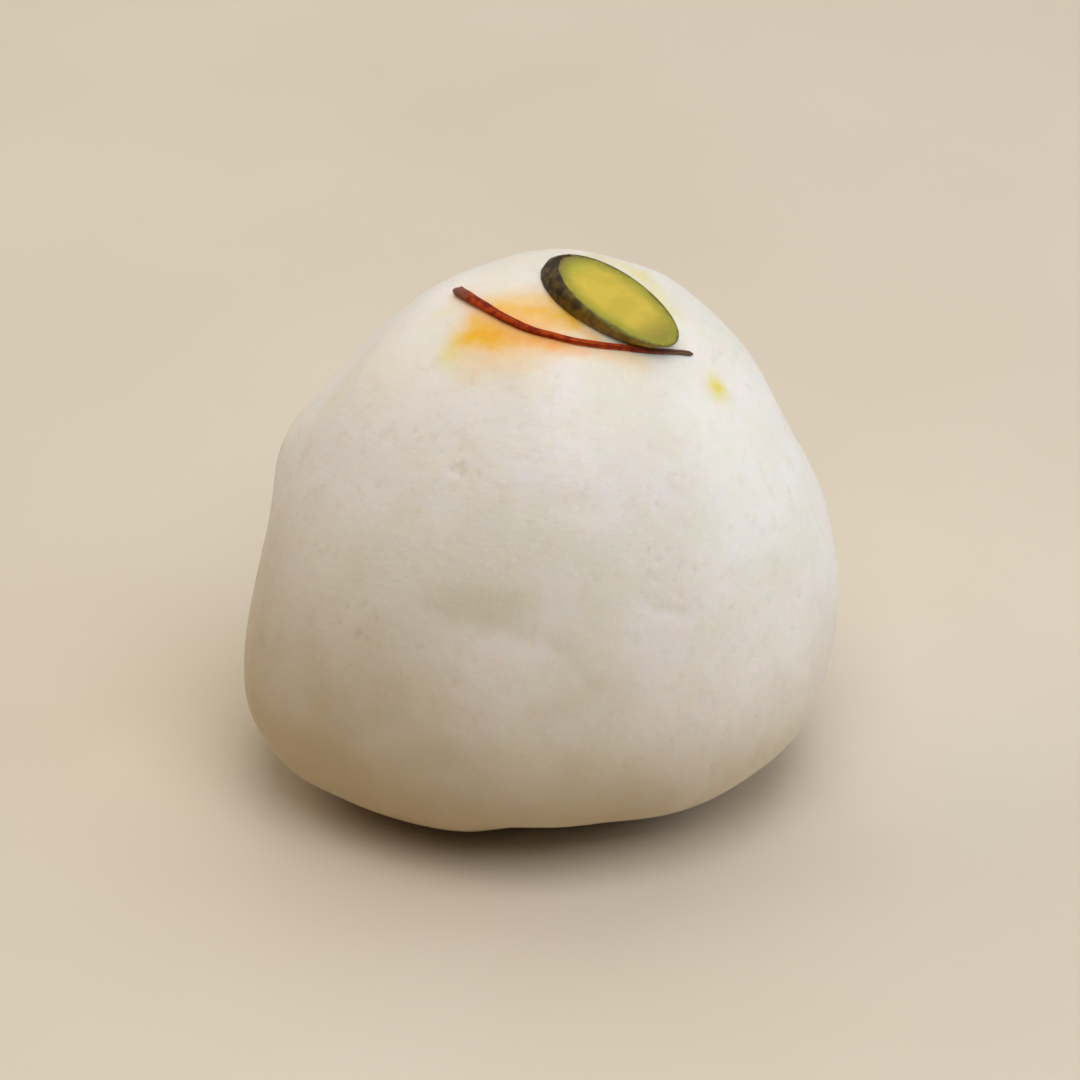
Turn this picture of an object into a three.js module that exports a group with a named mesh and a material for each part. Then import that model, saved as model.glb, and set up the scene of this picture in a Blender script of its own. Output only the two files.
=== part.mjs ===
// A rasgulla: a soft ball of kneaded fresh cheese cooked in syrup, garnished with a slice of pistachio kernel
// and a strand of saffron. Millimetres, +Z up, and -Y is the front. The origin is on the flat spot that the
// ball rests on, straight below the middle of the ball.

import * as THREE from 'three';
import { mergeVertices } from 'three/addons/utils/BufferGeometryUtils.js';

// The ball sags: its widest level is low, with a tall dome above it and a full, shallow belly below
const BELLY_RADIUS = 21.9;
const DOME_HEIGHT = 29.3;
const BELLY_DEPTH = 14.1;
const DOME_FULLNESS = 2.18;
const BELLY_FULLNESS = 2.32;
const TOP_LEAN = 0.5;
const BALL_DETAIL = 19;

// The dome turns into the belly between these sines of the elevation
const BELLY_BELOW = -0.5;
const DOME_ABOVE = 0.5;

// Its own weight presses the underside flat, with a soft turn into the flat spot
const REST_CUT = 1.6;
const REST_TURN = 0.6;

// Flats pressed in while the ball was soft: azimuth and elevation in degrees, depth and soft edge in mm
const FLATS = [
  { azimuth: 157, elevation: 38, depth: 0.05, edge: 2 },
  { azimuth: 42, elevation: 18, depth: 0.3, edge: 4 },
  { azimuth: 108, elevation: 5, depth: 0.3, edge: 4 },
];

// A flat reaches only to directions whose cosine from its own is above this
const FLAT_REACH = 0.05;

// Broad hollows, or swellings where the depth is below zero. Their reach is an angle in degrees
const HOLLOWS = [
  { azimuth: 168, elevation: 17, depth: 1.25, reach: 11 },
  { azimuth: -165, elevation: -20, depth: -1.75, reach: 22 },
  { azimuth: 0, elevation: 12, depth: -1, reach: 30 },
  { azimuth: -97, elevation: -32, depth: 0.6, reach: 9 },
  { azimuth: -79, elevation: -34, depth: 1.4, reach: 24 },
  { azimuth: 126, elevation: 68, depth: 0.75, reach: 9 },
  { azimuth: 171, elevation: 37, depth: -0.45, reach: 9 },
  { azimuth: 9, elevation: 39, depth: 0.7, reach: 13 },
  { azimuth: -122, elevation: 2, depth: 0.45, reach: 12 },
  { azimuth: -78, elevation: 6, depth: 0.3, reach: 9 },
  { azimuth: 68, elevation: 38, depth: 0.5, reach: 13 },
  { azimuth: 130, elevation: -12, depth: -0.5, reach: 18 },
];

// Shallow creases left by rolling the ball, each along the arc between two directions
const CREASES = [
  { from: [-119, 24], to: [-103, 27.5], depth: 0.12, halfWidth: 1.5 },
  { from: [-103, 27.5], to: [-88, 26], depth: 0.12, halfWidth: 1.5 },
  { from: [-88, 26], to: [-81, 15], depth: 0.08, halfWidth: 1.4 },
  { from: [-72, 40], to: [-63, 37], depth: 0.08, halfWidth: 1.1 },
  { from: [-67, 31], to: [-54, 28], depth: 0.08, halfWidth: 1.1 },
  { from: [85, 30], to: [104, 22], depth: 0.2, halfWidth: 1.2 },
  { from: [20, -4], to: [36, 3], depth: 0.2, halfWidth: 1.2 },
  { from: [150, 8], to: [139, -3], depth: 0.18, halfWidth: 1.2 },
];

// Low lumps all over, as a sum of waves of mixed length
const LUMP_SEED = 7;
const LUMP_WAVES = 18;
const LUMP_HEIGHT = 0.02;
const SHORTEST_LUMP = 6;
const LONGEST_LUMP = 13;

// The pistachio slice was cut lengthwise and at a slant from a kernel. It is thicker and wider at its upper end,
// where X is below zero, and it lies in a shallow seat near the top of the ball
const SLICE = {
  length: 12.3, width: 6.5, thickness: 1.25, taper: 0.28, slant: 1.75, narrowing: 0.06,
  x: 4.37, y: -2.3, heading: -43,
};
const SLICE_SEAT = { depth: 0.3, edge: 1 };
const SLICE_SEGMENTS = 48;

// Half the slice's section, as shares of its outline and its thickness, from the middle of its underside
const SLICE_PROFILE = [
  [0, 0], [0.4, 0], [0.7, 0], [0.84, 0.02], [0.92, 0.11], [0.97, 0.31], [1, 0.55], [0.995, 0.78],
  [0.975, 0.91], [0.94, 0.98], [0.88, 1], [0.6, 1], [0.3, 1], [0, 1],
];

const GARNISH_GAP = 0.3;

// The saffron strand: its line over the ball as seen from above, and its half-width from the flared tip on
const STRAND_LINE = [
  [-6.05, -0.5], [-4.28, -3.2], [-2.4, -5.3], [0.1, -6.8], [3.35, -7.5], [7.85, -6.65], [11.2, -4.95],
];
const STRAND_HALF_WIDTHS = [0.45, 0.38, 0.32, 0.28, 0.25, 0.2];
const STRAND_FLATNESS = 0.75;
const STRAND_RINGS = 56;
const STRAND_SIDES = 8;

const CENTRE_HEIGHT = BELLY_DEPTH - REST_CUT;

// How many times the range of a height is halved in the search for the top surface
const HEIGHT_STEPS = 40;

function direction(azimuth, elevation) {
  const around = THREE.MathUtils.degToRad(azimuth);
  const rise = THREE.MathUtils.degToRad(elevation);
  return new THREE.Vector3(Math.cos(rise) * Math.cos(around), Math.cos(rise) * Math.sin(around), Math.sin(rise));
}

function smoothMin(a, b, softness) {
  const share = THREE.MathUtils.clamp(0.5 + (0.5 * (b - a)) / softness, 0, 1);
  return b + (a - b) * share - softness * share * (1 - share);
}

// From the ball's centre to its surface before anything presses on it: a superellipse whose fullness and
// height change smoothly at the widest level
function fullRadius(toward) {
  const share = THREE.MathUtils.smoothstep(toward.z, BELLY_BELOW, DOME_ABOVE);
  const height = THREE.MathUtils.lerp(BELLY_DEPTH, DOME_HEIGHT, share);
  const fullness = THREE.MathUtils.lerp(BELLY_FULLNESS, DOME_FULLNESS, share);
  const across = Math.hypot(toward.x, toward.y) / BELLY_RADIUS;
  return (across ** fullness + (Math.abs(toward.z) / height) ** fullness) ** (-1 / fullness);
}

function pressedFlat({ azimuth, elevation, depth, edge }) {
  const normal = direction(azimuth, elevation);
  return { normal, edge, distance: fullRadius(normal) - depth };
}

function hollowAt({ azimuth, elevation, depth, reach }) {
  return { middle: direction(azimuth, elevation), depth, reach: THREE.MathUtils.degToRad(reach) };
}

function creaseBetween({ from, to, depth, halfWidth }) {
  const radius = fullRadius(direction(...from));
  const line = new THREE.Line3(direction(...from).multiplyScalar(radius), direction(...to).multiplyScalar(radius));
  return { line, radius, depth, halfWidth };
}

// Waves in evenly spread directions, the same on each run
function lumpWaves() {
  THREE.MathUtils.seededRandom(LUMP_SEED);
  const next = () => THREE.MathUtils.seededRandom();
  return Array.from({ length: LUMP_WAVES }, () => ({
    along: new THREE.Vector3().setFromSphericalCoords(1, Math.acos(1 - 2 * next()), 2 * Math.PI * next()),
    length: THREE.MathUtils.lerp(SHORTEST_LUMP, LONGEST_LUMP, next()),
    phase: 2 * Math.PI * next(),
  }));
}

const flats = FLATS.map(pressedFlat);
const hollows = HOLLOWS.map(hollowAt);
const creases = CREASES.map(creaseBetween);
const lumps = lumpWaves();

function pressedRadius(radius, toward, flat) {
  const facing = toward.dot(flat.normal);
  return facing > FLAT_REACH ? smoothMin(radius, flat.distance / facing, flat.edge) : radius;
}

function hollowDepth(toward, hollow) {
  const away = toward.angleTo(hollow.middle) / hollow.reach;
  return hollow.depth * Math.exp(-away * away);
}

function creaseDepth(toward, crease) {
  const point = toward.clone().multiplyScalar(crease.radius);
  const nearest = crease.line.closestPointToPoint(point, true, new THREE.Vector3());
  const away = point.distanceTo(nearest) / crease.halfWidth;
  return crease.depth * Math.exp(-away * away);
}

function lumpHeight(toward, radius) {
  const wave = ({ along, length, phase }) => Math.sin((2 * Math.PI * radius * toward.dot(along)) / length + phase);
  return LUMP_HEIGHT * lumps.reduce((sum, lump) => sum + wave(lump), 0);
}

function ballRadius(toward) {
  let radius = flats.reduce((r, flat) => pressedRadius(r, toward, flat), fullRadius(toward));
  radius -= hollows.reduce((sum, hollow) => sum + hollowDepth(toward, hollow), 0);
  radius -= creases.reduce((sum, crease) => sum + creaseDepth(toward, crease), 0);
  return radius + lumpHeight(toward, radius);
}

// Turns a height over the resting plane into one that eases onto the plane and never goes below it
function settled(height) {
  if (height > REST_TURN) return height;
  return height < -REST_TURN ? 0 : (height + REST_TURN) ** 2 / (4 * REST_TURN);
}

// The surface in one direction from the ball's centre, leaning and settled on its flat spot
function ballPoint(toward) {
  const point = toward.clone().multiplyScalar(ballRadius(toward));
  point.x += (TOP_LEAN * point.z) / DOME_HEIGHT;
  point.z = settled(point.z + CENTRE_HEIGHT);
  return point;
}

// The top surface straight above a point of the plan, found by halving the range of its height
function topPoint(x, y) {
  let low = 0;
  let high = 2 * DOME_HEIGHT;
  for (let step = 0; step < HEIGHT_STEPS; step += 1) {
    const height = (low + high) / 2;
    const toward = new THREE.Vector3(x - (TOP_LEAN * height) / DOME_HEIGHT, y, height);
    if (toward.length() > ballRadius(toward.clone().normalize())) high = height;
    else low = height;
  }
  return new THREE.Vector3(x, y, low + CENTRE_HEIGHT);
}

// The outward normal of the top surface, measured as far out as whatever lies there reaches
function topNormal(x, y, reach) {
  const acrossX = topPoint(x + reach, y).sub(topPoint(x - reach, y));
  const acrossY = topPoint(x, y + reach).sub(topPoint(x, y - reach));
  return acrossX.cross(acrossY).normalize();
}

// The seat that the slice has settled into, as one more flat. Its plane is measured from the ball's centre
function sliceSeat() {
  const normal = topNormal(SLICE.x, SLICE.y, SLICE.length / 2);
  const foot = topPoint(SLICE.x, SLICE.y);
  foot.z -= CENTRE_HEIGHT;
  return { normal, edge: SLICE_SEAT.edge, distance: foot.dot(normal) - SLICE_SEAT.depth };
}

// The slice's frame stands on the ball, with X along the slice and Z out of its cut face
function slicePlace() {
  const normal = topNormal(SLICE.x, SLICE.y, SLICE.length / 2);
  const foot = topPoint(SLICE.x, SLICE.y).addScaledVector(normal, GARNISH_GAP);
  const along = direction(SLICE.heading, 0).projectOnPlane(normal).normalize();
  return new THREE.Matrix4().makeBasis(along, normal.clone().cross(along), normal).setPosition(foot);
}

// One closed surface, with each vertex shared by the faces around it
function closedSurface(geometry) {
  geometry.deleteAttribute('normal');
  geometry.deleteAttribute('uv');
  const closed = mergeVertices(geometry);
  closed.computeVertexNormals();
  return closed;
}

function reshaped(geometry, place) {
  const position = geometry.getAttribute('position');
  for (let i = 0; i < position.count; i += 1) {
    position.setXYZ(i, ...place(new THREE.Vector3().fromBufferAttribute(position, i)));
  }
  return closedSurface(geometry);
}

function ballGeometry() {
  return reshaped(new THREE.IcosahedronGeometry(1, BALL_DETAIL), (vertex) => ballPoint(vertex.normalize()));
}

// A round slab stretched to the outline of the kernel, thinner and narrower towards one end
function sliceGeometry() {
  const profile = SLICE_PROFILE.map(([radius, height]) => new THREE.Vector2(radius, height));
  return reshaped(new THREE.LatheGeometry(profile, SLICE_SEGMENTS), ({ x, y, z }) => {
    const along = (SLICE.length / 2) * x + SLICE.slant * y;
    const across = (-SLICE.width / 2) * z * (1 - SLICE.narrowing * x);
    return new THREE.Vector3(along, across, SLICE.thickness * y * (1 - SLICE.taper * x));
  });
}

function strandHalfWidth(share) {
  const place = share * (STRAND_HALF_WIDTHS.length - 1);
  const before = Math.min(Math.floor(place), STRAND_HALF_WIDTHS.length - 2);
  return THREE.MathUtils.lerp(STRAND_HALF_WIDTHS[before], STRAND_HALF_WIDTHS[before + 1], place - before);
}

// A closed cylinder bent along the strand's line, lying just clear of the ball
function strandGeometry() {
  const plan = new THREE.CatmullRomCurve3(STRAND_LINE.map(([x, y]) => new THREE.Vector3(x, y, 0)));
  const cylinder = new THREE.CylinderGeometry(1, 1, 1, STRAND_SIDES, STRAND_RINGS);
  return reshaped(cylinder, ({ x, y, z }) => {
    const share = 0.5 - y;
    const foot = plan.getPointAt(share);
    const normal = topNormal(foot.x, foot.y, STRAND_HALF_WIDTHS[0]);
    const along = plan.getTangentAt(share).projectOnPlane(normal).normalize();
    const across = normal.clone().cross(along);
    const halfWidth = strandHalfWidth(share);
    return topPoint(foot.x, foot.y)
      .addScaledVector(normal, GARNISH_GAP + halfWidth * STRAND_FLATNESS * (1 + z))
      .addScaledVector(across, halfWidth * x);
  });
}

function piece(name, geometry, colour, roughness) {
  const material = new THREE.MeshStandardMaterial({ color: colour, roughness, metalness: 0 });
  const mesh = new THREE.Mesh(geometry, material);
  mesh.name = name;
  return mesh;
}

flats.push(sliceSeat());

const rasgulla = new THREE.Group();
const ball = piece('cheese_ball', ballGeometry(), 0xf0e8da, 0.55);
const slice = piece('pistachio_slice', sliceGeometry(), 0xa8a03a, 0.5);
const strand = piece('saffron_strand', strandGeometry(), 0x9a2a12, 0.6);
slice.applyMatrix4(slicePlace());
rasgulla.add(ball, slice, strand);

export default rasgulla;
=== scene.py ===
"""Looks of a rasgulla: a ball of fresh cheese with a pistachio slice, a saffron strand and saffron stains.

Lengths are in millimetres unless a comment says metres. The frame is the CAD's: +Z up, -Y the front.
"""

import math
import random

import bmesh
import bpy
import numpy as np
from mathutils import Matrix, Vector, bvhtree, kdtree, noise


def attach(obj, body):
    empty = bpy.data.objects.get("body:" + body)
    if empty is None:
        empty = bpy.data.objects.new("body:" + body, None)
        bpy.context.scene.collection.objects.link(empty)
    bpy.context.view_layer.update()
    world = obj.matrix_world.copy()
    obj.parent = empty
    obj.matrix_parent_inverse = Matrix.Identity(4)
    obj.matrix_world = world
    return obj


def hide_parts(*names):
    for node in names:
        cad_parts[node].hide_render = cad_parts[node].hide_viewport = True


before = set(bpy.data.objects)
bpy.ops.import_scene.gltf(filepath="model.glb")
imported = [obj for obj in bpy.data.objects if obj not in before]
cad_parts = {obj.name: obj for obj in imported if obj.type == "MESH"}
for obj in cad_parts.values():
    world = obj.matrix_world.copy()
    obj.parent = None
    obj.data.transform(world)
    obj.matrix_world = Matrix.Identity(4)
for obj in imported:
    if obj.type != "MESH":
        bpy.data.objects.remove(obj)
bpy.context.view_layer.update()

MM = 0.001

# Points of a CAD mesh that are closer together than this are one point
WELD = 0.001

# Keeps a direction from having no length
TINY = 1e-6

# Noise: the exponent by which each octave is weaker than the one before it, how many times finer it is, and
# how far apart the noise's patterns lie along X, Y and Z
NOISE_WEAKER = 0.6
NOISE_FINER = 2.0
PATTERN_SHIFT = np.array((1, 2.3, 3.7))

# Camera: the photograph's direction and distance, aimed at the middle of the ball as it is seen
CAMERA_ELEVATION = math.radians(30)
CAMERA_DISTANCE = 700
CAMERA_AIM = (0.0, 2.9, 17.6)
CAMERA_LENS = 304

# From where to where the camera sees, in metres
CAMERA_CLIP = (0.01, 10)

# The direction in which the camera looks. The garnish, which the CAD holds just clear of the ball, slides
# down along it until it lies on the ball, so it keeps its place in that view
SLIDE = np.array((0.0, math.cos(CAMERA_ELEVATION), -math.sin(CAMERA_ELEVATION)))

# The ball: its centre, as the CAD has it, roughly its radius, how often its mesh is subdivided, a height
# above all of it, and what the random places of its pores and marks start from
CENTRE = np.array((0.0, 0.0, 12.5))
BALL_RADIUS = 25
BALL_LEVELS = 2
HIGH_ABOVE = 60.0
BALL_SEED = 20

# Near the flat spot that the ball rests on nothing is carved. The carving fades in between these heights
BASE_FADE = (0.4, 2.6)

# Up to how high the ball gets painted warm shade, darker towards its bottom, how much lower that lies for
# each millimetre to the right, and the noise in it: wavelength, height, pattern and octaves
LOW_SHADE_HEIGHT = 25.5
LOW_SHADE_TILT = 0.2
LOW_SHADE_NOISE = (9.0, 2.5, 51, 3)

# Relief of the kneaded cheese, as layers of noise: wavelength, height, pattern and octaves
RELIEF = {
    "swells": (9.0, 0.06, 3, 2),
    "dimples": (4.0, 0.035, 4, 2),
    "curds": (1.7, 0.014, 5, 2),
    "grain": (0.9, 0.008, 6, 2),
}

# Pores in loose clusters all over: how many, and the wavelength of the noise that clusters them. There is a
# pore where that noise and the base together reach a random value, which is at most the limit
PORES = 420
PORE_CLUSTER = 7.0
PORE_BASE = 0.35
PORE_LIMIT = 0.9

# Deeper pores in a few dense clusters, each in a direction from the centre: how many pores each has, its
# spread in degrees, and how many times deeper its pores are
DENSE_PORES = ((-128.5, 18.5), (-112, 55), (-63, 34), (40, 30), (130, 45))
PORES_IN_DENSE = 14
DENSE_SPREAD = 2.8
DENSE_DEEPER = 1.4

# A pore's radius and depth. Its faintly raised edge, its steepness and its reach are in shares of these
PORE_RADIUS = (0.2, 0.36)
PORE_DEPTH = (0.02, 0.07)
PORE_STEEPNESS = 1.6
PORE_REACH = 2.2
PORE_EDGE_RADIUS = 1.4
PORE_EDGE_HEIGHT = 0.12
PORE_EDGE_STEEPNESS = 6

# Short marks of the kneaded fibres, some raised and some sunk: how many, between which elevations, their
# length, and by how much some are shorter
FIBRES = 360
FIBRE_ELEVATIONS = (-35, 80)
FIBRE_LENGTH = (0.6, 3.8)
FIBRE_SHORTER = (0.4, 1)

# The half-width and depth of a fibre mark, how many degrees it turns from level or upright, how much it
# bends, and the step between its places
FIBRE_HALF_WIDTH = 0.2
FIBRE_DEPTH = (-0.02, 0.036)
FIBRE_TURN = 30
FIBRE_BEND = 0.16
FIBRE_STEP = 0.2

# Soft folds and creases on the front, each through directions from the ball's centre, given as azimuth and
# elevation
FOLDS = (
    {"line": ((-117, 29.5), (-107, 29.8), (-97, 30), (-89, 30.5)), "width": 2.1, "depth": 0.22},
    {"line": ((-98, 26.5), (-90, 25), (-85, 22), (-82, 18), (-80, 12)), "width": 0.6, "depth": 0.07},
    {"line": ((-97, 49.5), (-90, 51), (-83, 50.3), (-77, 48.5), (-71, 46.5)), "width": 1.2, "depth": 0.09},
    {"line": ((-69, 30.3), (-64, 28.5), (-60, 27), (-54.6, 25)), "width": 0.5, "depth": 0.12},
    {"line": ((-114, 53.5), (-109, 54.7)), "width": 0.45, "depth": 0.12},
)
FOLD_STEP = 0.3

# A mark or fold fades to its ends as half a wave does, of which this share is left out at each end, and it
# reaches this many half-widths to each side
GROOVE_START = 0.06
GROOVE_REACH = 2.5

# Painted shade in sunken pores and marks, and in folds: the depths between which it sets in, and how strong
# it gets
HOLLOW_SHADE = (0.015, 0.08, 0.6)
FOLD_SHADE = (0.01, 0.22, 0.42)

# The pistachio slice, as in the CAD: X along it, Z out of its cut face. It gets thinner and narrower along
# X, and the slant moves its cut face along X. Its section runs from the middle of its underside to the
# middle of its cut face, in shares of its half-width and of its thickness
SLICE_LENGTH = 12.3
SLICE_WIDTH = 6.5
SLICE_THICKNESS = 1.25
SLICE_TAPER = 0.28
SLICE_SLANT = 1.75
SLICE_NARROWING = 0.06
SLICE_HEADING = -43
SLICE_PROFILE = (
    (0.0, 0.0), (0.4, 0.0), (0.7, 0.0), (0.84, 0.02), (0.92, 0.11), (0.97, 0.31), (1.0, 0.55),
    (0.995, 0.78), (0.975, 0.91), (0.94, 0.98), (0.88, 1.0), (0.6, 1.0), (0.3, 1.0), (0.0, 1.0),
)

# The slice's mesh: how many points go round it, how many rows follow its section, the share of the section
# that is left to the point that closes each end, and how often the rows are smoothed
SLICE_AROUND = 208
SLICE_ROWS = 92
SLICE_ROWS_FROM = 0.002
SLICE_SMOOTHING = 2

# How far the slice is lowered onto the ball, how much further its ends bend down to it, and the share of
# its height over which its underside gives way to the ball
SLICE_DROP = 0.3
SLICE_SAG = 0.35
SLICE_GIVE = 0.6

# The slice's skin: where it is along the height and radius, the depth of its wrinkles, and their noise. The
# long wrinkles run up the side. The least length keeps the slice's middle from a division by nothing
SKIN_MIDDLE = 0.5
SKIN_HALF_HEIGHT = 0.38
SKIN_RADII = (0.85, 0.98)
SKIN_DEPTH = 0.09
LEAST_OUTWARD = 0.01
LONG_WRINKLES = (0.9, 0.5, 5, 3)
LONG_WRINKLES_SQUEEZE = (1, 1, 0.35)
SHORT_WRINKLES = (0.45, 0.35, 8, 2)

# The slice's cut face: where it starts, its waves, and how far its middle is sunken
FACE_HEIGHTS = (0.93, 1.0)
FACE_RADII = (0.9, 1.0)
FACE_WAVES = ((2.6, 0.03, 21, 3), (0.7, 0.014, 23, 3))
FACE_SINK = 0.05

# The skin gives way to the cut face over these heights and insets from the rim, and further in where it is
# dark. It is dark between these turns round the slice, in degrees, with noise in them
SKIN_HEIGHTS = (0.86, 0.98)
SKIN_INSETS = (0.03, 0.16)
DARK_INSET = 0.3
DARK_FROM = (158, 172)
DARK_TO = (240, 306)
DARK_NOISE = (0.8, 16, 31, 3)

# The greener and greyer upper end and the duller lower end of the cut face, in half-lengths from its middle
UPPER_END = (-0.95, -0.45)
LOWER_END = (0.3, 0.9)

# The saffron strand, as in the CAD: its line as seen from above, its half-width from the flared tip on, its
# thickness as a share of its width, and how far it is held clear of the ball
STRAND_LINE = (
    (-6.05, -0.5), (-4.28, -3.2), (-2.4, -5.3), (0.1, -6.8), (3.35, -7.5), (7.85, -6.65), (11.2, -4.95),
)
STRAND_HALF_WIDTHS = (0.45, 0.38, 0.32, 0.28, 0.25, 0.2)
STRAND_FLATNESS = 0.75
STRAND_GAP = 0.3

# The strand's mesh, the steps between two points of its line, and how often it is smoothed where it lies
STRAND_RINGS = 260
STRAND_SIDES = 28
STRAND_CURVE_STEPS = 60
STRAND_SMOOTHING = 12

# How high the strand's middle lies on the ball, in shares of its half-thickness
STRAND_REST = 0.82

# How uneven the strand's width is, and the noise in it: how far it runs, its wavelength and its pattern
STRAND_UNEVEN = 0.07
STRAND_NOISE_RUN = 21
STRAND_NOISE = (1.3, 2)

# The strand's rounded ends: over which shares of its length, and how much thinner it gets there
TAIL_END = (0.985, 1.0, 0.6)
TIP_END = (0.0, 0.008, 0.45)

# The strand's twist in radians, its sets of lengthwise grooves, each with its number, turn, depth and
# sharpness, and the lobes of its tip: their number, their height and the share of the length that they take
STRAND_TWIST = 2.2
STRAND_GROOVES = ((3, 0.8, 0.1, 3), (5, 0.0, 0.05, 2))
STRAND_LOBES = (3, 0.22, 0.05)

# Colour along the strand: the shares of its length over which its tip ends and its tail starts, and the
# depths between which painted shade darkens a groove. The third number is how strong the colour gets
TIP_COLOUR = (0.015, 0.13, 0.95)
TAIL_COLOUR = (0.72, 0.95)
GROOVE_SHADE = (0.02, 0.12, 0.8)

# Saffron stains as strokes on the top of the ball, as seen from above: from, to, radius and strength. The
# lemon ones also hold a painted yellow reflection of the pistachio slice along its edge
STAIN_AND_REFLECTION_COLOURS = {"lemon": (232, 216, 96), "gold": (248, 188, 4), "orange": (250, 154, 58)}
STAINS_AND_REFLECTION = {
    "lemon": (
        # The first two lemon strokes are a painted yellow reflection of the pistachio slice along its edge
        ((4.6, 7.0), (7.4, 4.0), 1.1, 0.34),
        ((7.4, 4.0), (9.8, -0.6), 1.0, 0.34),
        ((13.2, -5.7), (13.4, -5.7), 0.8, 0.92),
        ((13.2, -5.6), (13.2, -5.5), 1.7, 0.12),
        ((-7.1, -1.9), (-7.1, -1.8), 0.7, 0.2),
        ((-5.8, -5.6), (-6.6, -7.0), 1.0, 0.55),
    ),
    "gold": (
        ((-4.9, -5.9), (-3.7, -6.2), 1.45, 1.0),
        ((-5.0, -4.0), (-4.4, -4.9), 0.9, 0.7),
        ((-3.0, -6.3), (1.0, -7.3), 1.2, 0.7),
        ((-4.6, -8.3), (-1.0, -8.6), 1.7, 0.28),
        ((-2.8, -3.6), (1.2, -4.0), 1.5, 0.78),
        ((-0.6, -5.0), (1.8, -5.3), 1.1, 0.5),
        ((-3.6, -2.2), (1.0, -2.0), 1.2, 0.32),
        ((1.4, -2.2), (2.8, -4.8), 0.8, 0.7),
        ((2.4, -5.2), (4.3, -6.3), 0.7, 0.55),
        ((2.0, -7.7), (7.4, -7.5), 1.0, 0.3),
    ),
    "orange": (
        ((-3.2, -6.0), (1.4, -7.4), 0.9, 0.22),
        ((-2.9, -4.2), (0.4, -5.6), 0.7, 0.22),
    ),
}

# How far the edges of the stains and of the painted reflection wander, with which wavelength, octaves and
# patterns, and the heights on the ball between which they set in
STROKE_WANDER = 0.3
STROKE_WAVELENGTH = 2.4
STROKE_OCTAVES = 2
STROKE_PATTERNS = (11, 17, 29)
STROKE_LOWEST = (28, 33)

# The orange halo of the strand: its radius, its strength, and from where to where along X it fades. It is
# measured from every eighth place along the strand
HALO_RADIUS = 0.8
HALO_STRENGTH = 0.36
HALO_FADE = (3.0, 8.0)
HALO_STEP = 8

# Colours as a screen shows them, from 0 to 255
# The cheese's pit, hollow and fold colours are painted shade, and its last colour is painted warm shade low
# down
CHEESE = {
    "cream": (243, 236, 229), "warm": (237, 231, 216), "curd": (231, 222, 206), "fleck": (248, 245, 239),
    "pit": (214, 200, 176), "hollow": (222, 210, 188), "fold": (208, 199, 160), "low_shade": (192, 170, 131),
}
KERNEL = {
    "gold": (210, 184, 66), "dull gold": (198, 176, 60), "lower": (138, 126, 50), "upper": (160, 162, 50),
    "rim": (152, 148, 44), "grey": (134, 118, 66), "edge": (98, 92, 32), "fleck": (222, 204, 96),
    "skin": (156, 130, 40), "brown skin": (112, 88, 24), "dark skin": (90, 68, 18),
    "black skin": (44, 31, 8),
}
# The saffron's groove colour is painted shade in the strand's grooves
SAFFRON = {
    "red": (182, 66, 0), "deep red": (128, 30, 0), "tail": (108, 82, 62), "groove": (84, 18, 4),
    "tip": (128, 84, 66),
}
FLOOR = {"pale": (224, 212, 192), "warm": (219, 206, 185)}

# The part of a noise's range, from 0 to 1, in which nearly all of it lies, and a narrower one
WIDE = (0.2, 0.8)
NARROW = (0.3, 0.7)

# Studio, in metres: the floor, and square soft lights round the ball, each with its azimuth, elevation,
# size, watts and tint. Azimuth 0 is in front of the ball, and 90 to the right of it
FLOOR_SIZE = 3.0
LIGHT_AIM = (0, 0, 0.015)
LIGHT_DISTANCE = 0.5
LIGHTS = {
    "key": (16, 62, 0.4, 1.72, (0.955, 0.965, 1.0)),
    "side": (97, 14, 0.35, 1.2, (0.76, 0.85, 1.0)),
    "back": (165, 60, 0.4, 0.75, (1.0, 0.97, 0.88)),
    "fill": (-100, 40, 0.4, 0.56, (1.0, 0.84, 0.64)),
    "rear": (-148, 24, 0.4, 0.42, (0.95, 0.96, 1.0)),
}
WORLD_TINT = (1.0, 0.94, 0.85)
WORLD_STRENGTH = 0.025


# Small helpers


def direction(azimuth, elevation):
    around, rise = math.radians(azimuth), math.radians(elevation)
    level = math.cos(rise)
    return np.array((level * math.cos(around), level * math.sin(around), math.sin(rise)))


def smoothstep(low, high, values):
    share = np.clip((values - low) / (high - low), 0, 1)
    return share * share * (3 - 2 * share)


def unit(vectors):
    return vectors / np.linalg.norm(vectors, axis=-1, keepdims=True)


def moved_places(points, wavelength, pattern):
    """Where a noise is read for some points. Another pattern is another part of the noise."""
    return points / wavelength + pattern * PATTERN_SHIFT


def noise_at(points, wavelength, pattern):
    """Signed noise of one wavelength at each point."""
    return np.array([noise.noise(Vector(p)) for p in moved_places(points, wavelength, pattern)])


def rough_noise(points, wavelength, pattern, octaves):
    """Signed noise of some octaves at each point, in which finer ones are weaker."""
    places = moved_places(points, wavelength, pattern)
    return np.array([noise.fractal(Vector(p), NOISE_WEAKER, NOISE_FINER, octaves) for p in places])


def layer(points, wavelength, height, pattern, octaves):
    return height * rough_noise(points, wavelength, pattern, octaves)


def points_of(mesh):
    flat = np.empty(len(mesh.vertices) * 3, np.float32)
    mesh.vertices.foreach_get("co", flat)
    return flat.reshape(-1, 3).astype(float) / MM


def normals_of(mesh):
    flat = np.empty(len(mesh.vertices) * 3, np.float32)
    mesh.vertex_normals.foreach_get("vector", flat)
    return flat.reshape(-1, 3).astype(float)


def set_points(mesh, points):
    mesh.vertices.foreach_set("co", (points * MM).astype(np.float32).ravel())
    mesh.update()


def add_attributes(mesh, values_by_name):
    for name, values in values_by_name.items():
        made = mesh.attributes.new(name, "FLOAT", "POINT")
        made.data.foreach_set("value", np.asarray(values, np.float32))


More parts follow.
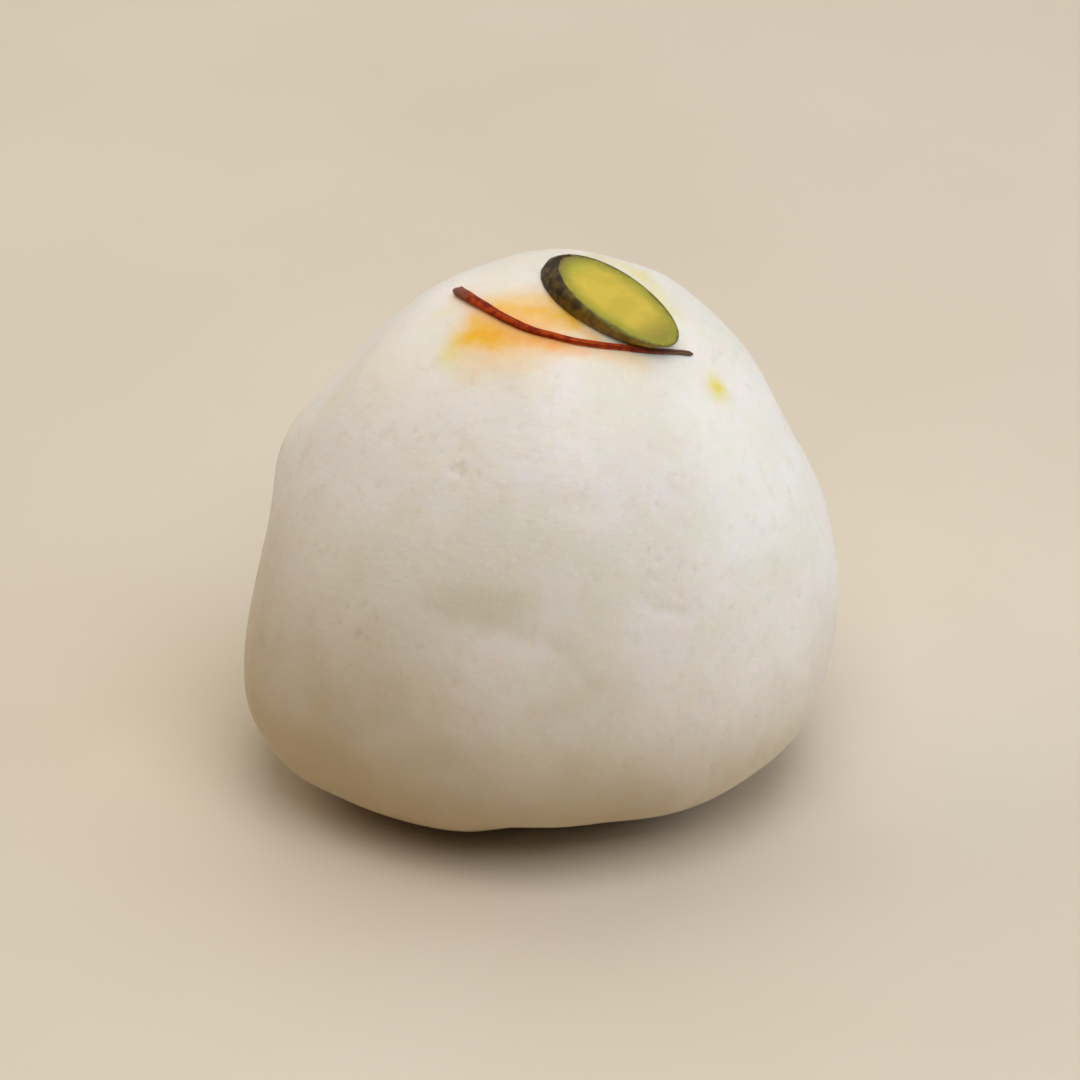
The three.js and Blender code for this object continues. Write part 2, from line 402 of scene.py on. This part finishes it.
def new_object(name, mesh):
    made = bpy.data.objects.new(name, mesh)
    bpy.context.scene.collection.objects.link(made)
    return made


def new_piece(name, mesh, node, material):
    """A piece of the sweet that stands for one CAD node."""
    mesh.polygons.foreach_set("use_smooth", np.ones(len(mesh.polygons), bool))
    mesh.update()
    mesh.materials.append(material)
    made = new_object(name, mesh)
    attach(made, "root")
    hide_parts(node)
    return made


def grid_mesh(name, rings):
    """A closed tube mesh from rings of points. Its first and its last ring are closed by a point each."""
    first, last = rings[0].mean(0), rings[-1].mean(0)
    count, around = rings.shape[:2]
    points = np.concatenate((rings.reshape(-1, 3), first[None], last[None]))
    faces = []
    for ring in range(count - 1):
        for i in range(around):
            j = (i + 1) % around
            low, high = ring * around, (ring + 1) * around
            faces.append((low + i, low + j, high + j, high + i))
    for i in range(around):
        j = (i + 1) % around
        faces.append((count * around, j, i))
        faces.append((count * around + 1, (count - 1) * around + i, (count - 1) * around + j))
    mesh = bpy.data.meshes.new(name)
    mesh.from_pydata([tuple(p * MM) for p in points], [], faces)
    mesh.update()
    return mesh


def with_ends(values_by_name):
    """Values for the points of a grid mesh, whose two closing points take those of their rings."""
    return {name: np.concatenate((values, values[[0, -1]])) for name, values in values_by_name.items()}


# Materials


def colour(red, green, blue):
    """A colour as a screen shows it, from 0 to 255, turned into the linear values that a shader takes."""
    def linear(value):
        share = value / 255
        return share / 12.92 if share <= 0.04045 else ((share + 0.055) / 1.055) ** 2.4

    return (linear(red), linear(green), linear(blue), 1.0)


def palette(colours):
    return {name: colour(*shown) for name, shown in colours.items()}


class Material:
    """A material whose nodes are added one at a time. An input is a number, a colour or a node's output."""

    def __init__(self, name):
        self.made = bpy.data.materials.new(name)
        self.made.use_nodes = True
        self.tree = self.made.node_tree
        self.shader = self.tree.nodes["Principled BSDF"]
        self.coordinates = self.add("ShaderNodeTexCoord").outputs["Object"]

    def put(self, socket, value):
        if isinstance(value, bpy.types.NodeSocket):
            self.tree.links.new(value, socket)
        else:
            socket.default_value = value

    def add(self, kind, inputs=None, **settings):
        node = self.tree.nodes.new(kind)
        for name, value in settings.items():
            setattr(node, name, value)
        for name, value in (inputs or {}).items():
            self.put(node.inputs[name], value)
        return node

    def shade(self, inputs):
        for name, value in inputs.items():
            self.put(self.shader.inputs[name], value)

    def attribute(self, name):
        return self.add("ShaderNodeAttribute", attribute_name=name).outputs["Fac"]

    def noise(self, size, detail=3.0, stretch=None):
        """Noise with features of about that size in millimetres, as a value from 0 to 1."""
        where = self.coordinates
        if stretch:
            inputs = {0: where, 1: stretch}
            where = self.add("ShaderNodeVectorMath", inputs, operation="MULTIPLY").outputs[0]
        inputs = {"Vector": where, "Scale": 1 / (size * MM), "Detail": detail}
        return self.add("ShaderNodeTexNoise", inputs).outputs["Fac"]

    def pits(self, spacing, radius):
        """Small round pits, one in each cell of a wandering grid, as a depth from 0 to 1."""
        inputs = {"Vector": self.coordinates, "Scale": 1 / (2 * spacing * MM)}
        drift = self.add("ShaderNodeTexNoise", inputs).outputs["Color"]
        inputs = {0: drift, 1: (spacing * MM,) * 3, 2: self.coordinates}
        where = self.add("ShaderNodeVectorMath", inputs, operation="MULTIPLY_ADD").outputs[0]
        cells = self.add("ShaderNodeTexVoronoi", {"Vector": where, "Scale": 1 / (spacing * MM)})
        pit = self.ranged(cells.outputs["Distance"], 0.0, radius / spacing, 1.0, 0.0)
        return self.maths("MULTIPLY", pit, self.ranged(cells.outputs["Color"], 0.2, 1.0))

    def maths(self, operation, a, b):
        return self.add("ShaderNodeMath", {0: a, 1: b}, operation=operation).outputs[0]

    def ranged(self, value, low, high, to_low=0.0, to_high=1.0):
        inputs = {"Value": value, "From Min": low, "From Max": high, "To Min": to_low, "To Max": to_high}
        return self.add("ShaderNodeMapRange", inputs, interpolation_type="SMOOTHSTEP").outputs[0]

    def wander(self, size, detail, span, lowest, highest):
        """A value that goes from lowest to highest where a noise of that size goes through a span."""
        return self.ranged(self.noise(size, detail), *span, lowest, highest)

    def blend(self, share, a, b):
        node = self.add("ShaderNodeMix", data_type="RGBA")
        for socket, value in ((node.inputs[0], share), (node.inputs[6], a), (node.inputs[7], b)):
            self.put(socket, value)
        return node.outputs[2]

    def mottle(self, base, other, size, span, detail=3.0, most=1.0):
        """The base colour, which turns to the other where a noise of that size goes through a span."""
        return self.blend(self.wander(size, detail, span, 0.0, most), base, other)

    def bump(self, height, distance, strength, below=None):
        inputs = {"Height": height, "Distance": distance * MM, "Strength": strength}
        if below:
            inputs["Normal"] = below
        return self.add("ShaderNodeBump", inputs).outputs["Normal"]


def cheese_material():
    """Moist, dense fresh cheese with stains, a painted reflection, and painted shade in hollows, folds and
    low down.
    """
    made = Material("fresh_cheese")
    tones = palette(CHEESE)
    cream = made.mottle(tones["cream"], tones["warm"], size=7.0, span=(0.35, 0.68))
    cream = made.mottle(cream, tones["curd"], size=1.3, span=(0.5, 0.75), detail=4.0, most=0.5)
    cream = made.mottle(cream, tones["fleck"], size=0.5, span=(0.58, 0.72), detail=2.0, most=0.35)
    crowd = made.wander(size=4.5, detail=2.0, span=(0.45, 0.62), lowest=0.0, highest=1.0)
    pits = made.maths("MULTIPLY", made.pits(spacing=0.75, radius=0.17), crowd)
    # Painted shade: darker in the pits, pores, marks and folds, and warmer and darker low down
    cream = made.blend(made.maths("MULTIPLY", pits, 0.2), cream, tones["pit"])
    cream = made.blend(made.attribute("hollow"), cream, tones["hollow"])
    cream = made.blend(made.attribute("fold"), cream, tones["fold"])
    cream = made.blend(made.attribute("painted_low_shade"), cream, tones["low_shade"])
    uneven = made.wander(size=0.9, detail=4.0, span=WIDE, lowest=0.9, highest=1.16)
    # The lemon stain colour also paints a yellow reflection of the pistachio slice
    for name, stain in palette(STAIN_AND_REFLECTION_COLOURS).items():
        cream = made.blend(made.maths("MULTIPLY", made.attribute(name), uneven), cream, stain)
    relief = made.bump(made.noise(0.2), distance=0.025, strength=0.5)
    fibrous = made.noise(0.6, detail=4.0, stretch=(0.6, 0.6, 1.5))
    relief = made.bump(fibrous, distance=0.07, strength=0.5, below=relief)
    relief = made.bump(made.maths("SUBTRACT", 1.0, pits), distance=0.035, strength=0.6, below=relief)
    made.shade({
        "Base Color": cream,
        "Roughness": made.wander(size=1.6, detail=4.0, span=NARROW, lowest=0.44, highest=0.58),
        "Normal": relief,
        "Subsurface Weight": 1.0,
        "Subsurface Radius": (1.0, 0.7, 0.45),
        "Subsurface Scale": 0.5 * MM,
        "Coat Weight": 0.08,
        "Coat Roughness": 0.34,
    })
    return made.made


def kernel_flesh(made, tones):
    """The cut face of the kernel: golden in the middle, green and then dark towards its rim."""
    ragged = made.wander(size=1.2, detail=4.0, span=WIDE, lowest=-0.14, highest=0.14)
    inset = made.maths("ADD", made.attribute("inset"), ragged)

    def near_rim(first, last, most):
        """Most up to the first inset, and nothing from the last one on."""
        return made.ranged(inset, first, last, most, 0.0)

    flesh = made.mottle(tones["gold"], tones["dull gold"], size=2.2, span=(0.42, 0.66))
    flesh = made.blend(made.attribute("lower"), flesh, tones["lower"])
    flesh = made.blend(made.attribute("upper"), flesh, tones["upper"])
    flesh = made.blend(near_rim(0.3, 1.9, 0.95), flesh, tones["rim"])
    grey = made.maths("MULTIPLY", made.attribute("upper"), near_rim(0.3, 1.3, 1.0))
    flesh = made.blend(grey, flesh, tones["grey"])
    flesh = made.blend(near_rim(0.2, 0.62, 0.95), flesh, tones["edge"])
    return made.mottle(flesh, tones["fleck"], size=0.35, span=(0.5, 0.75), most=0.2)


def pistachio_material():
    """A cut kernel with its papery skin round the side, which is dark at one end."""
    made = Material("pistachio_kernel")
    tones = palette(KERNEL)
    skin = made.mottle(tones["skin"], tones["brown skin"], size=0.9, span=(0.35, 0.65))
    dark = made.mottle(tones["dark skin"], tones["black skin"], size=0.7, span=(0.4, 0.62), detail=4.0)
    skin = made.blend(made.attribute("dark"), skin, dark)
    ragged = made.wander(size=0.5, detail=4.0, span=WIDE, lowest=-0.12, highest=0.12)
    covered = made.ranged(made.maths("ADD", made.attribute("skin"), ragged), 0.4, 0.6)
    made.shade({
        "Base Color": made.blend(covered, kernel_flesh(made, tones), skin),
        "Roughness": made.wander(size=0.7, detail=3.0, span=NARROW, lowest=0.42, highest=0.58),
        "Normal": made.bump(made.noise(0.25, 4.0), distance=0.04, strength=0.5),
        "Subsurface Weight": 0.2,
        "Subsurface Radius": (1.0, 0.8, 0.3),
        "Subsurface Scale": 0.3 * MM,
        "Specular IOR Level": 0.25,
        "Coat Weight": 0.02,
        "Coat Roughness": 0.32,
    })
    return made.made


def saffron_material():
    """A dried saffron stigma: orange-brown, with painted dark red shade in its grooves, greyer at its tip
    and tail.
    """
    made = Material("saffron")
    tones = palette(SAFFRON)
    red = made.mottle(tones["red"], tones["deep red"], size=0.6, span=(0.35, 0.65), detail=4.0)
    # The groove colour is painted shade in the grooves
    for name in ("tail", "groove", "tip"):
        red = made.blend(made.attribute(name), red, tones[name])
    made.shade({
        "Base Color": red,
        "Roughness": 0.55,
        "Specular IOR Level": 0.12,
        "Normal": made.bump(made.noise(0.12), distance=0.02, strength=0.6),
    })
    return made.made


def floor_material():
    made = Material("pale_floor")
    tones = palette(FLOOR)
    made.shade({
        "Base Color": made.mottle(tones["pale"], tones["warm"], size=60.0, span=NARROW),
        "Roughness": 0.7,
    })
    return made.made


# The ball


def welded(node):
    """A copy of a CAD node's mesh in which each point is there once."""
    work = bmesh.new()
    work.from_mesh(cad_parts[node].data)
    bmesh.ops.remove_doubles(work, verts=work.verts, dist=WELD * MM)
    mesh = bpy.data.meshes.new(node + "_copy")
    work.to_mesh(mesh)
    work.free()
    return mesh


def subdivided(mesh, levels):
    source = new_object("source", mesh)
    source.modifiers.new("fine", "SUBSURF").levels = levels
    graph = bpy.context.evaluated_depsgraph_get()
    made = bpy.data.meshes.new_from_object(source.evaluated_get(graph))
    bpy.data.objects.remove(source)
    return made


class Surface:
    """Finds points of the ball's surface: near a place, straight below one, or along a direction."""

    def __init__(self, mesh):
        self.points = points_of(mesh)
        self.normals = normals_of(mesh)
        corners = [Vector(p) for p in self.points]
        self.tree = bvhtree.BVHTree.FromPolygons(corners, [tuple(f.vertices) for f in mesh.polygons])
        self.near = kdtree.KDTree(len(corners))
        for index, corner in enumerate(corners):
            self.near.insert(corner, index)
        self.near.balance()

    def cast(self, start, toward):
        """Where a ray from start first meets the surface, and the normal there."""
        place, normal, _, _ = self.tree.ray_cast(Vector(start), Vector(toward))
        return np.array(place), np.array(normal)

    def on_top(self, x, y):
        return self.cast((x, y, HIGH_ABOVE), (0, 0, -1))

    def nearest(self, point):
        place, normal, _, _ = self.tree.find_nearest(Vector(point))
        return np.array(place), np.array(normal)

    def toward(self, azimuth, elevation):
        """The place nearest to where the ball lies in a direction from its centre, and the normal there."""
        return self.nearest(CENTRE + BALL_RADIUS * direction(azimuth, elevation))

    def within(self, place, reach):
        """Indices and distances of the mesh points within reach of a place."""
        return [(index, away) for _, index, away in self.near.find_range(Vector(place), reach)]

    def height_of(self, points):
        """How far each point lies outside the surface, or below zero inside it."""
        heights = []
        for point in points:
            place, normal = self.nearest(point)
            heights.append((point - place) @ normal)
        return np.array(heights)


def groove(surface, heights, line, half_width, depth):
    """Presses a rounded groove along a line of places into the heights. It is fainter at its ends."""
    nearest = {}
    for step, place in enumerate(line):
        share = step / max(1, len(line) - 1)
        fade = math.sin(math.pi * (GROOVE_START + (1 - 2 * GROOVE_START) * share))
        for index, away in surface.within(place, GROOVE_REACH * half_width):
            if index not in nearest or away < nearest[index][0]:
                nearest[index] = (away, fade)
    for index, (away, fade) in nearest.items():
        heights[index] -= depth * fade * math.exp(-((away / half_width) ** 2))


def fibre_line(surface, draw):
    """The places along one short mark that wanders over the surface."""
    place, normal = surface.toward(draw.uniform(-180, 180), draw.uniform(*FIBRE_ELEVATIONS))
    level = unit(np.cross((0, 0, 1.0), normal) + TINY)
    turn = math.radians(draw.choice((0, 90)) + draw.gauss(0, FIBRE_TURN))
    heading = math.cos(turn) * level + math.sin(turn) * np.cross(normal, level)
    bend = draw.uniform(-FIBRE_BEND, FIBRE_BEND)
    line = [place]
    length = draw.uniform(*FIBRE_LENGTH) * draw.uniform(*FIBRE_SHORTER)
    for _ in range(max(2, int(length / FIBRE_STEP))):
        heading = unit(heading + bend * np.cross(normal, heading) * draw.uniform(0, 1))
        place, normal = surface.nearest(place + FIBRE_STEP * heading)
        line.append(place)
    return line


def fold_line(surface, corners):
    """Places on the surface along the lines between some directions from the ball's centre."""
    spots = [surface.toward(*corner)[0] for corner in corners]
    line = []
    for start, end in zip(spots, spots[1:]):
        steps = max(1, round(np.linalg.norm(end - start) / FOLD_STEP))
        line += [surface.nearest(start + (end - start) * step / steps)[0] for step in range(steps)]
    return line + [spots[-1]]


def pore_spots(surface, draw):
    """Where the pores are: in loose clusters all over, then in the dense ones."""
    spots = []
    while len(spots) < PORES:
        spot = surface.points[draw.randrange(len(surface.points))]
        if noise.noise(Vector(spot / PORE_CLUSTER)) + PORE_BASE >= draw.random() * PORE_LIMIT:
            spots.append(spot)
    for azimuth, elevation in DENSE_PORES:
        for _ in range(PORES_IN_DENSE):
            around = azimuth + draw.gauss(0, DENSE_SPREAD)
            spots.append(surface.toward(around, elevation + draw.gauss(0, DENSE_SPREAD))[0])
    return spots


def pore_height(share):
    """Height in a pore of depth 1, at a share of its radius: a round pit with a faintly raised edge."""
    pit = math.exp(-share * share * PORE_STEEPNESS)
    edge = math.exp(-((share - PORE_EDGE_RADIUS) ** 2) * PORE_EDGE_STEEPNESS)
    return PORE_EDGE_HEIGHT * edge - pit


def pore_heights(surface, draw):
    heights = np.zeros(len(surface.points))
    for number, spot in enumerate(pore_spots(surface, draw)):
        radius = draw.uniform(*PORE_RADIUS)
        depth = draw.uniform(*PORE_DEPTH) * (DENSE_DEEPER if number >= PORES else 1)
        for index, away in surface.within(spot, PORE_REACH * radius):
            heights[index] += depth * pore_height(away / radius)
    return heights


def line_distance(points, line):
    """How far each point is from a line of places."""
    best = np.full(len(points), np.inf)
    for a, b in zip(line, line[1:]):
        along = b - a
        share = np.clip(((points - a) @ along) / (along @ along), 0, 1)
        best = np.minimum(best, np.linalg.norm(points - a - share[:, None] * along, axis=1))
    return best


def soft_stroke(points, line, radius):
    """How much of a stroke along a line shows at each point, from 0 to 1."""
    return np.exp(-(line_distance(points, line) / radius) ** 2)


def stain_and_reflection_values(surface, strand):
    """Strength of each stain colour at each point of the ball's top; the lemon one also paints a
    reflection.
    """
    points = surface.points
    warp = [rough_noise(points, STROKE_WAVELENGTH, pattern, STROKE_OCTAVES) for pattern in STROKE_PATTERNS]
    wandering = points + STROKE_WANDER * np.stack(warp, axis=1)
    clear = {}
    for name, strokes in STAINS_AND_REFLECTION.items():
        clear[name] = np.ones(len(points))
        for start, end, radius, strength in strokes:
            ends = [surface.on_top(*spot)[0] for spot in (start, end)]
            clear[name] *= 1 - strength * soft_stroke(wandering, ends, radius)
    line = np.array([surface.on_top(*spot)[0] for spot in strand[::HALO_STEP]])
    halo = soft_stroke(wandering, line, HALO_RADIUS) * (1 - smoothstep(*HALO_FADE, points[:, 0]))
    clear["orange"] *= 1 - HALO_STRENGTH * halo
    top = smoothstep(*STROKE_LOWEST, points[:, 2])
    return {name: (1 - share) * top for name, share in clear.items()}


# Painted shade that grows with depth
def painted_depth_shade(depths, low, high, most):
    return smoothstep(low, high, depths) * most


def ball_mesh(strand):
    """The CAD's ball, finer, with kneaded relief, pores, marks, folds, stains, painted shade and painted
    reflection.
    """
    mesh = subdivided(welded("cheese_ball"), BALL_LEVELS)
    surface = Surface(mesh)
    draw = random.Random(BALL_SEED)
    relief = sum(layer(surface.points, *values) for values in RELIEF.values())
    marks = pore_heights(surface, draw)
    for _ in range(FIBRES):
        line = fibre_line(surface, draw)
        groove(surface, marks, line, FIBRE_HALF_WIDTH, draw.uniform(*FIBRE_DEPTH))
    folds = np.zeros(len(surface.points))
    for fold in FOLDS:
        groove(surface, folds, fold_line(surface, fold["line"]), fold["width"], fold["depth"])
    fade = smoothstep(*BASE_FADE, surface.points[:, 2])
    points = surface.points + surface.normals * ((relief + marks + folds) * fade)[:, None]
    points[:, 2] = np.maximum(points[:, 2], 0)
    set_points(mesh, points)
    # How high the painted warm shade reaches: higher on the left than on the right
    low_shade = points[:, 2] + LOW_SHADE_TILT * points[:, 0] + layer(points, *LOW_SHADE_NOISE)
    add_attributes(mesh, stain_and_reflection_values(surface, strand))
    # Painted shade in the sunken pores and marks, in the folds, and warm towards the bottom
    add_attributes(mesh, {
        "hollow": painted_depth_shade(-marks, *HOLLOW_SHADE),
        "fold": painted_depth_shade(-folds, *FOLD_SHADE),
        "painted_low_shade": 1 - smoothstep(0, LOW_SHADE_HEIGHT, low_shade),
    })
    return mesh


# The pistachio slice


def slice_frame():
    """The middle of the CAD slice's flat underside, and its axes along, across and out of its face."""
    mesh = welded("pistachio_slice")
    underside = [f for f in mesh.polygons if f.normal.z < 0]
    middle = np.bincount([i for f in underside for i in f.vertices]).argmax()
    normal = -unit(sum(np.array(f.normal) * f.area for f in underside if middle in f.vertices))
    along = direction(SLICE_HEADING, 0)
    along = unit(along - (along @ normal) * normal)
    return points_of(mesh)[middle], along, np.cross(normal, along), normal


def slice_section():
    """The slice's half section, evenly spaced, as radii and heights from below to the cut face."""
    profile = np.array(SLICE_PROFILE)
    steps = np.linalg.norm(np.diff(profile * (SLICE_WIDTH / 2, SLICE_THICKNESS), axis=0), axis=1)
    places = np.concatenate(((0,), np.cumsum(steps))) / steps.sum()
    shares = np.linspace(SLICE_ROWS_FROM, 1 - SLICE_ROWS_FROM, SLICE_ROWS)
    section = [np.interp(shares, places, profile[:, k]) for k in range(2)]
    for values in section:
        for _ in range(SLICE_SMOOTHING):
            values[1:-1] = (values[:-2] + 2 * values[1:-1] + values[2:]) / 4
    return section


def wrinkle_skin(local, x, y, radius, height):
    """Wrinkles the slice's side. The slice is about twice as long as wide, so Y counts double."""
    band = np.exp(-(((height - SKIN_MIDDLE) / SKIN_HALF_HEIGHT) ** 4))
    outward = np.stack((x, 2 * y, 0 * x), axis=-1)
    outward = outward / np.maximum(np.linalg.norm(outward, axis=1, keepdims=True), LEAST_OUTWARD)
    wrinkles = layer(local * LONG_WRINKLES_SQUEEZE, *LONG_WRINKLES) + layer(local, *SHORT_WRINKLES)
    local += outward * (SKIN_DEPTH * band * smoothstep(*SKIN_RADII, radius) * wrinkles)[:, None]


def shape_face(local, radius, height):
    """Gives the cut face its waves and its sunken middle."""
    face = smoothstep(*FACE_HEIGHTS, height) * (1 - smoothstep(*FACE_RADII, radius))
    local[:, 2] += face * sum(layer(local, *values) for values in FACE_WAVES)
    local[:, 2] -= face * FACE_SINK * (1 - radius ** 2)


def laid_on_ball(surface, local, x, height):
    """Places the slice as the CAD does, then lowers it until its underside lies on the ball."""
    foot, along, across, normal = slice_frame()
    world = foot + local @ np.stack((along, across, normal))
    lowered = SLICE_DROP + SLICE_SAG * x ** 2
    world = world + (lowered / -(SLIDE @ normal))[:, None] * SLIDE
    under = 1 - smoothstep(0.0, SLICE_GIVE, height)
    low = under > 0
    gaps = np.zeros(len(world))
    gaps[low] = np.maximum(surface.height_of(world[low]), 0)
    return world - (gaps * under)[:, None] * normal


def slice_values(local, x, angle, radius, height):
    """Values by which the slice's material tells its rim, its skin and its ends."""
    turn = np.degrees(angle) + layer(local, *DARK_NOISE)
    steepness = np.hypot(2 * np.cos(angle) / SLICE_LENGTH, 2 * np.sin(angle) / SLICE_WIDTH)
    inset = (1 - radius) / steepness
    dark = smoothstep(*DARK_FROM, turn) * (1 - smoothstep(*DARK_TO, turn))
    bare = smoothstep(*SKIN_HEIGHTS, height) * smoothstep(*SKIN_INSETS, inset - DARK_INSET * dark)
    return {
        "inset": inset,
        "skin": 1 - bare,
        "dark": dark,
        "upper": 1 - smoothstep(*UPPER_END, x),
        "lower": smoothstep(*LOWER_END, x),
    }


def slice_mesh(surface):
    radii, heights = slice_section()
    angles = np.linspace(0, 2 * math.pi, SLICE_AROUND, endpoint=False)
    radius, angle = (grid.ravel() for grid in np.meshgrid(radii, angles, indexing="ij"))
    height = np.repeat(heights, SLICE_AROUND)
    x, y = radius * np.cos(angle), radius * np.sin(angle)
    local = np.stack((
        x * SLICE_LENGTH / 2 + SLICE_SLANT * height,
        y * SLICE_WIDTH / 2 * (1 - SLICE_NARROWING * x),
        SLICE_THICKNESS * height * (1 - SLICE_TAPER * x),
    ), axis=-1)
    wrinkle_skin(local, x, y, radius, height)
    shape_face(local, radius, height)
    world = laid_on_ball(surface, local, x, height)
    mesh = grid_mesh("pistachio_cut", world.reshape(SLICE_ROWS, SLICE_AROUND, 3))
    add_attributes(mesh, with_ends(slice_values(local, x, angle, radius, height)))
    return mesh


# The saffron strand


def strand_plan():
    """The strand's line as seen from above, evenly spaced, on a smooth curve through its points."""
    corners = np.array(STRAND_LINE)
    padded = np.vstack((2 * corners[0] - corners[1], corners, 2 * corners[-1] - corners[-2]))
    line = []
    for i in range(len(corners) - 1):
        a, b, c, d = padded[i:i + 4]
        for share in np.linspace(0, 1, STRAND_CURVE_STEPS, endpoint=False):
            line.append(0.5 * (2 * b + (c - a) * share + (2 * a - 5 * b + 4 * c - d) * share ** 2
                               + (3 * b - a - 3 * c + d) * share ** 3))
    line = np.array(line + [corners[-1]])
    lengths = np.concatenate(((0,), np.cumsum(np.linalg.norm(np.diff(line, axis=0), axis=1))))
    even = np.linspace(0, lengths[-1], STRAND_RINGS)
    return np.stack([np.interp(even, lengths, line[:, k]) for k in range(2)], axis=1)


def strand_rest(surface, plan, widths):
    """The strand's middle line where it lies on the ball, and the ball's smoothed normals along it."""
    feet, normals = (np.array(part) for part in zip(*(surface.on_top(x, y) for x, y in plan)))
    for _ in range(STRAND_SMOOTHING):
        normals[1:-1] = unit(normals[:-2] + normals[1:-1] + normals[2:])
    middles = feet + normals * (STRAND_GAP + widths * STRAND_FLATNESS)[:, None]
    rest = []
    for middle, normal, width in zip(middles, normals, widths):
        place, _ = surface.cast(middle, SLIDE)
        rest.append(place + SLIDE * (STRAND_REST * width * STRAND_FLATNESS / (SLIDE @ normal)))
    rest = np.array(rest)
    for _ in range(STRAND_SMOOTHING):
        rest[1:-1] = (rest[:-2] + rest[1:-1] + rest[2:]) / 3
    return rest, normals


def uneven_widths(shares, widths):
    """The half-widths with a little noise in them, and with rounded ends."""
    run = np.stack((shares * STRAND_NOISE_RUN, 0 * shares, 0 * shares), axis=1)
    widths = widths * (1 + STRAND_UNEVEN * noise_at(run, *STRAND_NOISE))
    tail_start, tail_end, tail_thinner = TAIL_END
    tip_start, tip_end, tip_thinner = TIP_END
    widths = widths * (1 - tail_thinner * smoothstep(tail_start, tail_end, shares))
    return widths * (1 - tip_thinner * (1 - smoothstep(tip_start, tip_end, shares)))


def grooved(shares, angles):
    """The share of the half-width that the twisted grooves leave, for each ring and angle."""
    turns = angles[None] + (STRAND_TWIST * shares)[:, None]
    left = np.ones(turns.shape)
    for count, turned, depth, sharpness in STRAND_GROOVES:
        left -= depth * np.maximum(0, np.cos(count * turns + turned)) ** sharpness
    return left


def strand_values(shares, grooves):
    """Values by which the strand's material tells its tip, its tail and the painted shade in its grooves.
    """
    spread = np.repeat(shares, STRAND_SIDES)
    tip_start, tip_end, tip_most = TIP_COLOUR
    return {
        "tip": tip_most * (1 - smoothstep(tip_start, tip_end, spread)),
        "tail": smoothstep(*TAIL_COLOUR, spread),
        # Painted shade in the grooves
        "groove": painted_depth_shade(1 - grooves, *GROOVE_SHADE).ravel(),
    }


def strand_mesh(surface, plan):
    """A grooved, twisted stigma that lies on the ball, flared and lobed at its tip."""
    shares = np.linspace(0, 1, STRAND_RINGS)
    widths = np.interp(shares, np.linspace(0, 1, len(STRAND_HALF_WIDTHS)), STRAND_HALF_WIDTHS)
    rest, normals = strand_rest(surface, plan, widths)
    across = unit(np.cross(normals, unit(np.gradient(rest, axis=0))))
    angles = np.linspace(0, 2 * math.pi, STRAND_SIDES, endpoint=False)
    grooves = grooved(shares, angles)
    lobe_count, lobe_height, lobe_share = STRAND_LOBES
    lobed = (1 - smoothstep(0, lobe_share, shares))[:, None]
    lobes = 1 + lobe_height * np.cos(lobe_count * angles[None]) * lobed
    reach = uneven_widths(shares, widths)[:, None] * grooves * lobes
    u, v = reach * np.cos(angles), reach * np.sin(angles) * STRAND_FLATNESS
    rings = rest[:, None] + across[:, None] * u[..., None] + normals[:, None] * v[..., None]
    mesh = grid_mesh("saffron_thread", rings)
    add_attributes(mesh, with_ends(strand_values(shares, grooves)))
    return mesh


# The studio


def add_camera():
    camera = new_object("camera", bpy.data.cameras.new("camera"))
    camera.location = (np.array(CAMERA_AIM) - SLIDE * CAMERA_DISTANCE) * MM
    camera.rotation_mode = "QUATERNION"
    camera.rotation_quaternion = Vector(SLIDE).to_track_quat("-Z", "Y")
    camera.data.lens = CAMERA_LENS
    camera.data.clip_start, camera.data.clip_end = CAMERA_CLIP
    bpy.context.scene.camera = camera


def add_light(name, azimuth, elevation, size, watts, tint):
    lamp = bpy.data.lights.new(name, "AREA")
    lamp.size = size
    lamp.energy = watts
    lamp.color = tint
    made = new_object(name, lamp)
    toward = Vector(direction(azimuth - 90, elevation))
    made.location = Vector(LIGHT_AIM) + toward * LIGHT_DISTANCE
    made.rotation_mode = "QUATERNION"
    made.rotation_quaternion = (-toward).to_track_quat("-Z", "Y")


def add_world():
    world = bpy.data.worlds.new("studio")
    world.use_nodes = True
    background = world.node_tree.nodes["Background"]
    background.inputs["Color"].default_value = (*WORLD_TINT, 1)
    background.inputs["Strength"].default_value = WORLD_STRENGTH
    bpy.context.scene.world = world


def add_floor():
    mesh = bpy.data.meshes.new("floor")
    half = FLOOR_SIZE / 2
    corners = [(-half, -half, 0), (half, -half, 0), (half, half, 0), (-half, half, 0)]
    mesh.from_pydata(corners, [], [(0, 1, 2, 3)])
    mesh.materials.append(floor_material())
    new_object("floor", mesh)


plan = strand_plan()
ball = new_piece("rasgulla_ball", ball_mesh(plan), "cheese_ball", cheese_material())
on_ball = Surface(ball.data)
new_piece("pistachio_cut", slice_mesh(on_ball), "pistachio_slice", pistachio_material())
new_piece("saffron_thread", strand_mesh(on_ball, plan), "saffron_strand", saffron_material())

add_floor()
add_camera()
for name, light in LIGHTS.items():
    add_light(name, *light)
add_world()
bpy.context.scene.view_settings.view_transform = "Standard"
